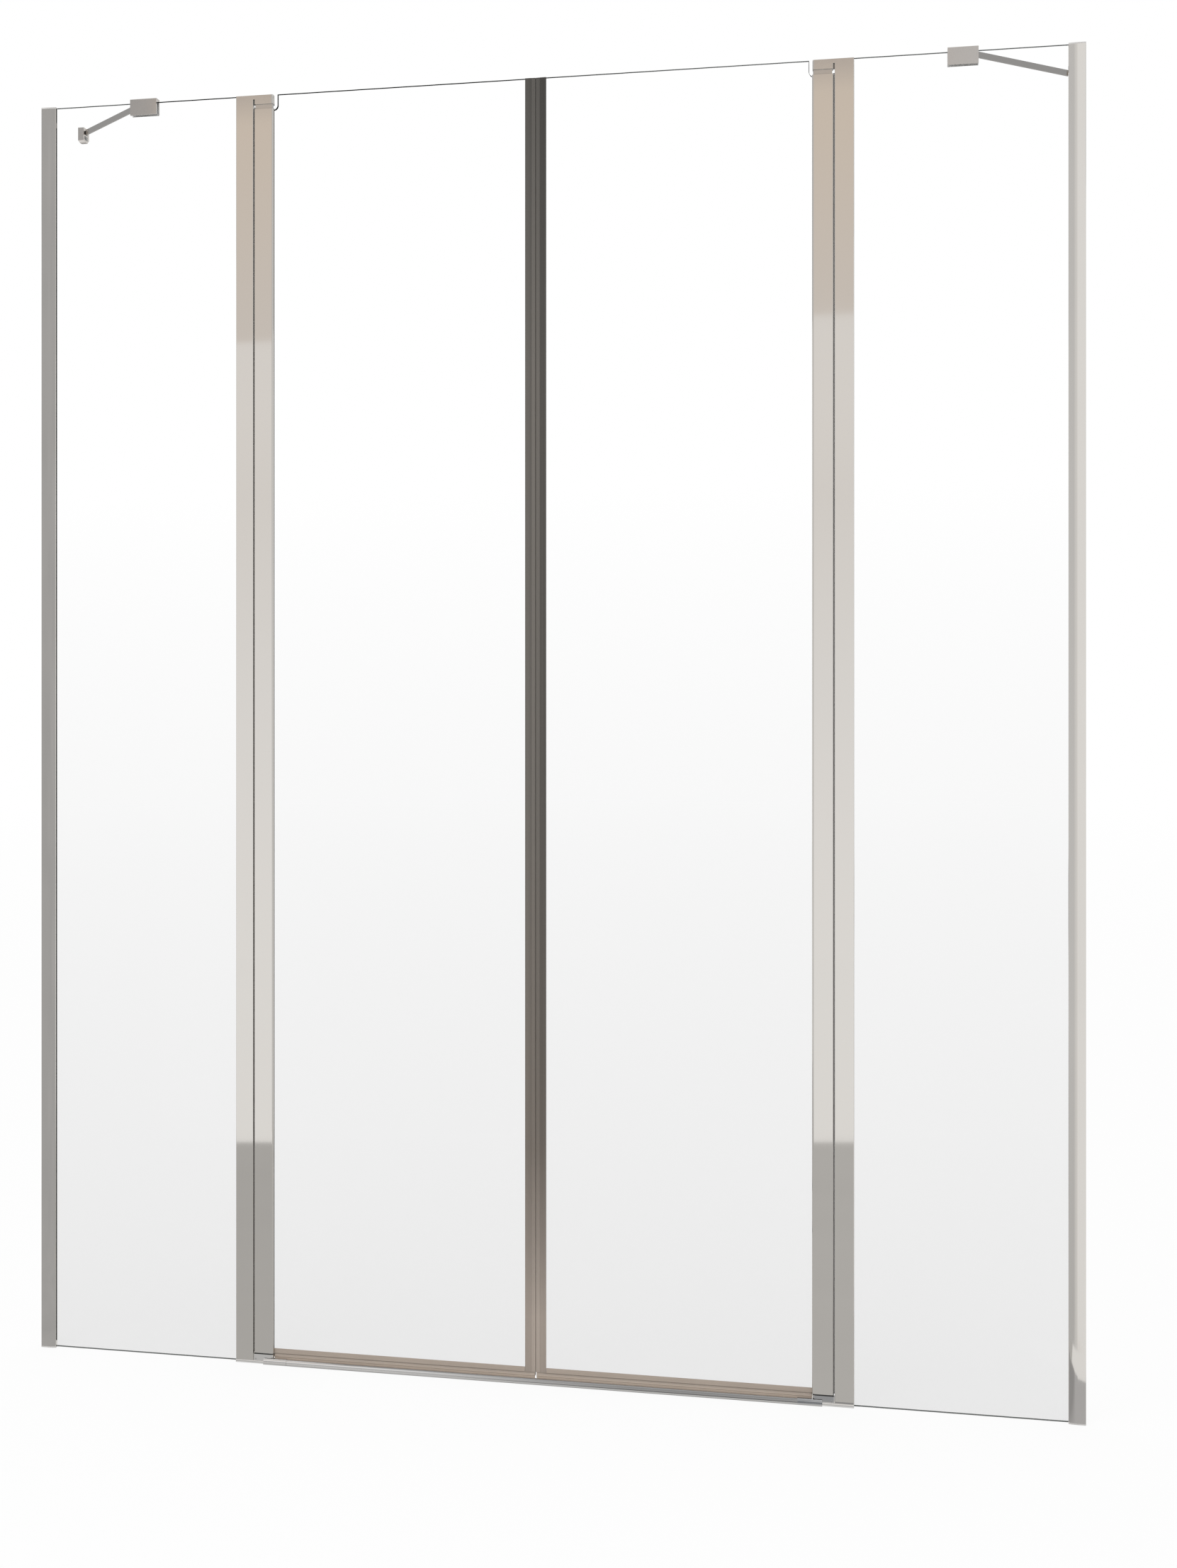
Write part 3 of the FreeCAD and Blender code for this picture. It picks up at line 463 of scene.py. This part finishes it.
bottom_vinyl, shader, here = material("bottom_seal_vinyl")
across, depth, height = here.parts()
draw_lines = here.noise((3.0, 800.0, 800.0))
haze = here.noise((12.0, 30.0, 30.0), detail=4.0)
rightwards = across.between(-0.4, 0.0)
# Painted light on the bulb and the lip, and painted shade in the groove.
bulb_light = (0.28 + 0.2 * rightwards) * height.between(bulb_top, bulb_full)
lip_light = 0.2 * height.between(lip_top, lip_full)
groove_shade = abs(height - groove).between(groove_half, 0.0)
tone = (0.88 + 0.14 * draw_lines + 0.14 * haze + bulb_light + lip_light) * (1.0 - 0.55 * groove_shade)
feed(shader, "Base Color", tone.tint(seal_brown))
feed(shader, "Roughness", 0.34 + 0.12 * (haze - 0.5) + 0.08 * (draw_lines - 0.5))
dress(both("bottom_seal"), bottom_vinyl)

lip_front, lip_back = -0.0027, -0.0017
lip_root, lip_reach, lip_tip = 0.0007, 0.0042, 0.0005

for side in sides:
    low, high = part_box(side + "_bottom_seal")
    root, tip = low.z + lip_root, low.z - lip_reach
    middle = (lip_front + lip_back) / 2
    shoulder = tip + lip_tip
    front = [(lip_front, root), (lip_front, shoulder)]
    back = [(lip_back, shoulder), (lip_back, root)]
    section = front + [(middle, tip)] + back
    made = bmesh.new()
    ends = [[made.verts.new((x, y, z)) for y, z in section] for x in (low.x, high.x)]
    made.faces.new(ends[0])
    made.faces.new(ends[1][::-1])
    for i in range(len(section)):
        made.faces.new((ends[0][i], ends[0][i - 1], ends[1][i - 1], ends[1][i]))
    finished(side + "_drip_lip", made, [bottom_vinyl], side + "_door")

# Magnetic seals: dark translucent vinyl, clipped on the free edges of the doors, with a magnet strip inside.
# Painted reflection makes the vinyl paler and browner towards the floor.
# Painted highlights run along the bulbs and the left clip.
seal_top, seal_middle = (0.066, 0.061, 0.054), (0.124, 0.112, 0.098)
seal_low, seal_foot = (0.160, 0.136, 0.114), (0.352, 0.298, 0.255)
seal_height = 1.98
bulb_edge, bulb_side, clip_width = 0.0068, 0.0060, 0.012

magnetic_vinyl, shader, here = material("magnetic_seal_vinyl", Specular_IOR_Level=0.4)
across, depth, height = here.parts()
draw_lines = here.noise((900.0, 900.0, 1.5))
# Painted reflection by height, and painted highlights on the bulbs, the left clip and near the floor.
painted_reflection = height.between(0.0, seal_height).ramp(
    (0.05, seal_foot), (0.11, shaded(seal_foot, 0.69)), (0.18, seal_low), (0.45, seal_middle),
    (0.78, shaded(seal_middle, 0.87)), (1.0, seal_top))
bulb_highlight = abs(across).between(bulb_edge, bulb_side)
left_clip_highlight = across.between(0.0, -clip_width) * height.between(0.1, 0.5)
rise = height.between(0.15, 1.4)
foot_glow = height.between(0.5, 0.1)
tone = 0.70 - 0.06 * rise + (0.17 + 0.38 * rise) * bulb_highlight + 0.42 * left_clip_highlight + 0.25 * foot_glow
tone = tone + 0.30 * (draw_lines - 0.5)
feed(shader, "Base Color", tone.tint(painted_reflection))
feed(shader, "Roughness", 0.32 + 0.12 * (draw_lines - 0.5))
dress(both("magnetic_seal"), magnetic_vinyl)
dress(both("magnet_strip"), soft_vinyl("magnet_rubber", (0.03, 0.03, 0.03), roughness=0.6))

# Stays: a plated clamp on the top edge of each fixed pane, a flat bar and a wall bracket.
# Steel pins join them, clear plastic pads keep the clamp off the glass, and the bracket's pockets carry
# painted light.
stay_colour = (0.645, 0.61, 0.575)
dress(both("stay_clamp"), plated_casting("stay_chrome", stay_colour, roughness=0.14, mottle=0.06))

bracket_low, bracket_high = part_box("right_stay_bracket")
pocket_front, pocket_back = bracket_low.y + 0.0029, bracket_high.y - 0.0049
pocket_low, pocket_high = bracket_low.z + 0.001, bracket_high.z - 0.001
pocket_mouth = bracket_low.x + 0.0001

bracket_metal, shader, here = material("bracket_metal")
across, depth, height = here.parts()
inside = (depth > pocket_front) * (depth < pocket_back) * (abs(across) > pocket_mouth)
inside = inside * (height > pocket_low) * (height < pocket_high)
sand = here.noise((600.0, 600.0, 600.0), detail=4.0)
# Painted light: the pockets are pale and matt instead of chrome.
pocket_light = sand.blend((0.62, 0.62, 0.61), (0.80, 0.80, 0.79))
feed(shader, "Base Color", inside.blend(stay_colour, pocket_light))
feed(shader, "Metallic", 1.0 - inside)
feed(shader, "Roughness", 0.14 + 0.4 * inside + 0.06 * (sand - 0.5))
dress(both("stay_bracket"), bracket_metal)

bar_metal = drawn_metal(
    "stay_bar_metal", (0.68, 0.662, 0.64), roughness=0.12, lines=0.04, mottle=0.05,
    along=(90.0, 90.0, 700.0))
dress(both("stay_bar"), bar_metal)
dress(["stay_pins"], pin_steel)
dress(["clamp_pads"], moulded_plastic("pad_plastic", (0.55, 0.55, 0.54), roughness=0.3, grain=0.05))

# Threshold strip: extruded aluminium, polished, glued to the floor below the doors.
# Its half-round bar stops the water. A band of painted shade runs below the crown, except near the left end,
# the right half is darker from a painted reflection, and a painted shadow line runs along the floor.
strip_colour = (0.78, 0.77, 0.76)
crown, crown_fade = 0.0084, 0.0003
crown_shade_low, crown_shade_high = 0.0066, 0.0076
right_shade_low, right_shade_high = 0.0026, 0.0030
edge_line, edge_full = 0.0010, 0.0006

strip_metal, shader, here = material("threshold_metal", Metallic=1.0)
across, depth, height = here.parts()
die_lines = here.noise((2.0, 700.0, 700.0))
below_crown = height.between(crown, crown - crown_fade)
# Painted shade below the crown, painted reflection darkening the right half, painted shadow along the floor.
crown_shade = 0.55 * height.between(crown_shade_low, crown_shade_high) * below_crown * across.between(-0.38, -0.30)
right_shade = 0.40 * height.between(right_shade_low, right_shade_high) * below_crown * across.between(-0.15, 0.15)
edge = 0.40 * height.between(edge_line, edge_full)
shadow = here.maths("MAXIMUM", crown_shade, right_shade) + edge + 0.06 * die_lines
feed(shader, "Base Color", shadow.blend(strip_colour, black))
feed(shader, "Roughness", 0.09 + 0.03 * die_lines)
feed(shader, "Normal", die_lines.bumps(strength=0.05, height=0.0001))
dress(["threshold_strip"], strip_metal)

# End caps of the threshold: plated plastic mouldings, pushed on the strip's ends beside the foot blocks.
# The right one carries a darker painted reflection. The side that faces the foot block is pale and matt,
# painted light.
cap_dark, cap_back_pale, cap_haze = (0.44, 0.45, 0.465), (0.72, 0.71, 0.70), (0.3, 0.3, 0.3)
cap_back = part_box("left_base_plate")[0].y - 0.0003
cap_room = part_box("right_foot_block")[0].x - 0.001
flange_top, flange_full = 0.0030, 0.0026

cap_chrome, shader, here = material("threshold_cap_chrome")
across, depth, height = here.parts()
behind = (abs(across) > cap_room) * (depth > cap_back)
right_end = across.between(-0.1, 0.1)
haze = here.noise((300.0, 300.0, 300.0), detail=4.0)
low_flange = height.between(flange_top, flange_full)
# Painted reflection darkens the right cap, and painted light makes the back pale and matt.
plating = (right_end * (1.0 - 0.8 * low_flange)).blend(strip_colour, cap_dark)
plating = (0.12 * haze).blend(plating, cap_haze)
back_light = right_end.blend(cap_back_pale, shaded(cap_back_pale, 0.6))
feed(shader, "Base Color", behind.blend(plating, back_light))
feed(shader, "Metallic", 1.0 - behind)
feed(shader, "Roughness", 0.12 + 0.05 * (haze - 0.5) + 0.3 * behind)
dress(["threshold_end_caps"], cap_chrome)

# Camera at the photograph's place: level, turned a little to the left.
# Lens and shift come from the focal length and the horizon, both in pixels of the photograph.
photo_height = 2212
focal_px, horizon_px = 2401.0, 951.3
sensor_size = 36.0
camera_turn = math.radians(10.19)

camera_data = bpy.data.cameras.new("camera")
camera_data.sensor_width = sensor_size
camera_data.lens = focal_px / photo_height * sensor_size
camera_data.shift_y = (horizon_px - photo_height / 2) / photo_height
camera_data.clip_end = 100.0
camera = bpy.data.objects.new("camera", camera_data)
camera.location = (0.5413, -2.557, 1.0856)
camera.rotation_euler = (math.pi / 2, 0, camera_turn)
scene.collection.objects.link(camera)
scene.camera = camera
scene.view_settings.view_transform = "Standard"

# Studio floor and surroundings: a plain white floor that keeps a soft shadow near the screen.
# It fades to the white that lies all round, and one large soft lamp hangs at the left.
white = (1.0, 1.0, 1.0, 1.0)
floor_grey = (0.92, 0.92, 0.92, 1.0)
floor_reach, floor_level = 30.0, -0.0005
floor_share = 0.9
fade_start, fade_end = 3.0, 12.0
plain_light = 0.88


def seen_directly(tree):
    """1 for what the camera sees directly, in a mirror or through glass."""
    path = tree.nodes.new("ShaderNodeLightPath")
    total = Shade(tree, path.outputs["Is Camera Ray"])
    for name in ("Is Glossy Ray", "Is Transmission Ray"):
        total = total + Shade(tree, path.outputs[name])
    return total.between(0.0, 1.0)


def lying(level, *points):
    """Corners of a board that lies at this level."""
    return [(x, y, level) for x, y in points]


def stage_piece(name, corners, fill):
    """Board outside the object, whose surface shader comes from a function of its tree."""
    mesh = bpy.data.meshes.new(name)
    mesh.from_pydata(corners, [], [tuple(range(len(corners)))])
    piece = bpy.data.objects.new(name, mesh)
    scene.collection.objects.link(piece)
    made = bpy.data.materials.new(name)
    made.use_nodes = True
    tree = made.node_tree
    tree.nodes.clear()
    out = tree.nodes.new("ShaderNodeOutputMaterial")
    tree.links.new(fill(Shade(tree)).socket, out.inputs["Surface"])
    mesh.materials.append(made)
    return piece


def pale_floor(start):
    here = start.own_place()
    far = here.make("ShaderNodeVectorMath", {"operation": "LENGTH"}, {0: here}, output=1)
    share = floor_share + (1.0 - floor_share) * far.between(fade_start, fade_end)
    matt = start.make("ShaderNodeBsdfDiffuse", None, {"Color": floor_grey})
    glow = start.make("ShaderNodeEmission", None, {"Color": white})
    return start.make("ShaderNodeMixShader", None, {0: seen_directly(start.tree) * share, 1: matt, 2: glow})


stage_piece("floor", lying(
    floor_level, (-floor_reach, -floor_reach), (floor_reach, -floor_reach),
    (floor_reach, floor_reach), (-floor_reach, floor_reach)), pale_floor)

world = bpy.data.worlds.new("studio")
scene.world = world
world.use_nodes = True
tree = world.node_tree
tree.nodes.clear()
strength = plain_light + (1.0 - plain_light) * seen_directly(tree)
surroundings = Shade(tree).make("ShaderNodeBackground", None, {"Color": white, "Strength": strength})
tree.links.new(surroundings.socket, tree.nodes.new("ShaderNodeOutputWorld").inputs["Surface"])

lamp_data = bpy.data.lights.new("softbox", "AREA")
lamp_data.energy = 36.0
lamp_data.size = 2.6
lamp = bpy.data.objects.new("softbox", lamp_data)
lamp.location = (-1.4, -2.8, 3.4)
lamp_target = Vector((0, 0, 1.0))
lamp.rotation_euler = (lamp_target - lamp.location).to_track_quat("-Z", "Y").to_euler()
lamp.visible_glossy = False
scene.collection.objects.link(lamp)

# Backdrop and warm card: tall boards behind the camera that only polished surfaces mirror.
# They give the bright metal its pale middle and its warm top, and stand square to the mirrored sight line.
sight_start, sight_way = Vector((-0.37, -2.56, 0.0)), Vector((-0.18, -0.98, 0.0))
board_top = 6.0


def card(name, corners, colour):
    """Board in one colour, or in the colour that a function gives for its coordinates."""
    def fill(start):
        paint = colour(start.own_place()) if callable(colour) else (*colour, 1.0)
        return start.make("ShaderNodeEmission", None, {"Color": paint})

    piece = stage_piece(name, corners, fill)
    for way in ("visible_camera", "visible_diffuse", "visible_transmission", "visible_shadow"):
        setattr(piece, way, False)


def facing(start, end, low_start, low_end, back):
    """Corners of a board that far behind the camera, with a lower edge that may slope."""
    along = Vector((math.cos(camera_turn), -math.sin(camera_turn), 0.0))
    middle = sight_start + sight_way * back
    return [tuple(middle + along * x + Vector((0, 0, z))) for x, z in (
        (start, low_start), (end, low_end), (end, board_top), (start, board_top))]


def backdrop_paint(here):
    return here.parts()[2].between(0.0, 2.6).ramp(
        (0.0, (1.0, 1.0, 1.0)), (0.2, (0.99, 0.985, 0.985)), (0.4, (0.955, 0.95, 0.95)),
        (0.68, (0.905, 0.885, 0.87)), (0.8, (0.93, 0.91, 0.895)))


def warm_paint(here):
    across, depth, height = here.parts()
    beige = height.between(2.4, 3.2).blend((0.79, 0.74, 0.70), (0.80, 0.71, 0.625))
    beige = (height - 0.0585 * across).between(3.275, 3.41).blend(beige, (0.594, 0.537, 0.496))
    return across.between(0.45, 0.70).blend(beige, (0.68, 0.675, 0.675))


card("backdrop_card", facing(-5.0, 1.6, low_start=0.0, low_end=0.0, back=1.32), backdrop_paint)
card("warm_card", facing(-3.4, 1.6, low_start=2.24, low_end=2.48, back=1.26), warm_paint)

# Floor cards: grey boards on the floor before and behind the screen, seen only in polished surfaces.
# They give the metal its grey foot, which ends lower at the right wall.
near_edge, low_card = -0.012, 0.0004
upper_card = 2 * low_card
foot_dark = (0.33, 0.335, 0.345)


def rough_grey(here):
    return here.noise((9.0, 9.0, 5.0), detail=6.0).blend((0.43, 0.435, 0.44), (0.57, 0.57, 0.575))


def foot_grey(here):
    share = 0.6 * here.parts()[0].between(-0.7, 0.5) + 0.4 * here.noise((2.0, 6.0, 1.0), detail=2.0)
    return share.blend((0.52, 0.517, 0.51), (0.605, 0.602, 0.595))


def right_foot_grey(here):
    return here.parts()[0].between(0.785, 0.80).blend((0.38, 0.38, 0.385), (0.55, 0.55, 0.56))


def far_grey(here):
    depth = here.parts()[1]
    within = depth.between(4.0, 5.0) * depth.between(8.0, 7.0)
    return within.blend((1.0, 1.0, 1.0), (0.40, 0.395, 0.39))


card("floor_card", lying(
    low_card, (-0.645, near_edge), (0.76, near_edge), (0.76, -1.51), (-1.24, -1.15)), foot_grey)
card("left_floor_card", lying(
    low_card, (-1.8, near_edge), (-0.645, near_edge), (-1.24, -1.15), (-1.8, -1.15)), rough_grey)
card("right_floor_card", lying(
    upper_card, (0.70, near_edge), (0.98, near_edge), (0.98, -0.153), (0.84, -0.153), (0.70, -0.30)),
    right_foot_grey)
card("right_foot_card", lying(
    upper_card, (0.40, -0.0205), (0.4525, -0.0205), (0.4525, -0.0455), (0.40, -0.0455)), foot_dark)
card("right_post_card", lying(
    upper_card, (0.4535, -0.0195), (0.4815, -0.0195), (0.4815, -0.0243), (0.4535, -0.0243)), foot_dark)
card("far_floor_card", lying(low_card, (-5.0, 4.0), (1.8, 4.0), (1.8, 8.0), (-5.0, 8.0)), far_grey)


# Upright cards: boards before the screen that shade the wall profiles, the threshold bar and the stays.
# Narrow dark flags behind the screen give the inner sides of the profiles their dark edges.
def standing(start, end, depth, low, high):
    """Corners of an upright board along the screen."""
    return [(start, depth, low), (end, depth, low), (end, depth, high), (start, depth, high)]


def right_paint(here):
    across, depth, height = here.parts()
    grey = height.between(0.0, 0.5).blend((0.60, 0.60, 0.60), (0.71, 0.71, 0.715))
    return across.between(0.772, 0.838).blend(grey, (0.97, 0.96, 0.95))


def bar_paint(here):
    across, depth, height = here.parts()
    grey = across.between(-0.72, 0.20).ramp(
        (0.0, (0.95, 0.95, 0.95)), (0.18, (0.88, 0.88, 0.88)), (0.38, (0.66, 0.66, 0.66)),
        (0.60, (0.50, 0.50, 0.50)), (0.85, (0.50, 0.50, 0.50)))
    return height.between(0.8, 1.5).blend(grey, (0.60, 0.60, 0.60))


card("left_flag", standing(-1.6, -0.84, depth=-0.5, low=0.0, high=2.5), rough_grey)
card("right_flag", standing(0.62, 0.838, depth=-0.45, low=0.0, high=2.5), right_paint)
card("right_strip_card", lying(
    upper_card, (0.70, -0.45), (0.838, -0.45), (0.838, -0.28), (0.70, -0.34)), right_paint)
card("bar_card", standing(-0.72, 0.355, depth=-1.0, low=0.1, high=2.4), bar_paint)

flag_dark = (0.06, 0.06, 0.06)
flag_start, flag_end = 0.02, 1.25
tip_half, flag_half = 0.01, 0.055


def mirrored_x(edge, depth):
    """Where the sight line that a side face at this edge mirrors crosses this depth."""
    return edge + (camera.location.x - edge) * depth / -camera.location.y


for piece, top in (("left_wall_profile", 2.6), ("left_door_profile", 2.42)):
    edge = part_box(piece)[1].x
    tip, end = mirrored_x(edge, flag_start), mirrored_x(edge, flag_end)
    left, right = end - flag_half, end + flag_half
    card(piece + "_flag", standing(left, right, flag_end, low=0.0, high=top), flag_dark)
    card(piece + "_floor_flag", lying(
        low_card, (tip - tip_half, flag_start), (tip + tip_half, flag_start),
        (right, flag_end), (left, flag_end)), flag_dark)

side_grey = (0.42, 0.42, 0.42)
side_flag_low, side_flag_high = 2.05, 3.2
for side, x, front, rear in (("left", -1.7, -0.5, 1.2), ("right", 1.7, -0.9, 0.6)):
    card(side + "_side_flag", [
        (x, front, side_flag_low), (x, rear, side_flag_low),
        (x, rear, side_flag_high), (x, front, side_flag_high)], side_grey)
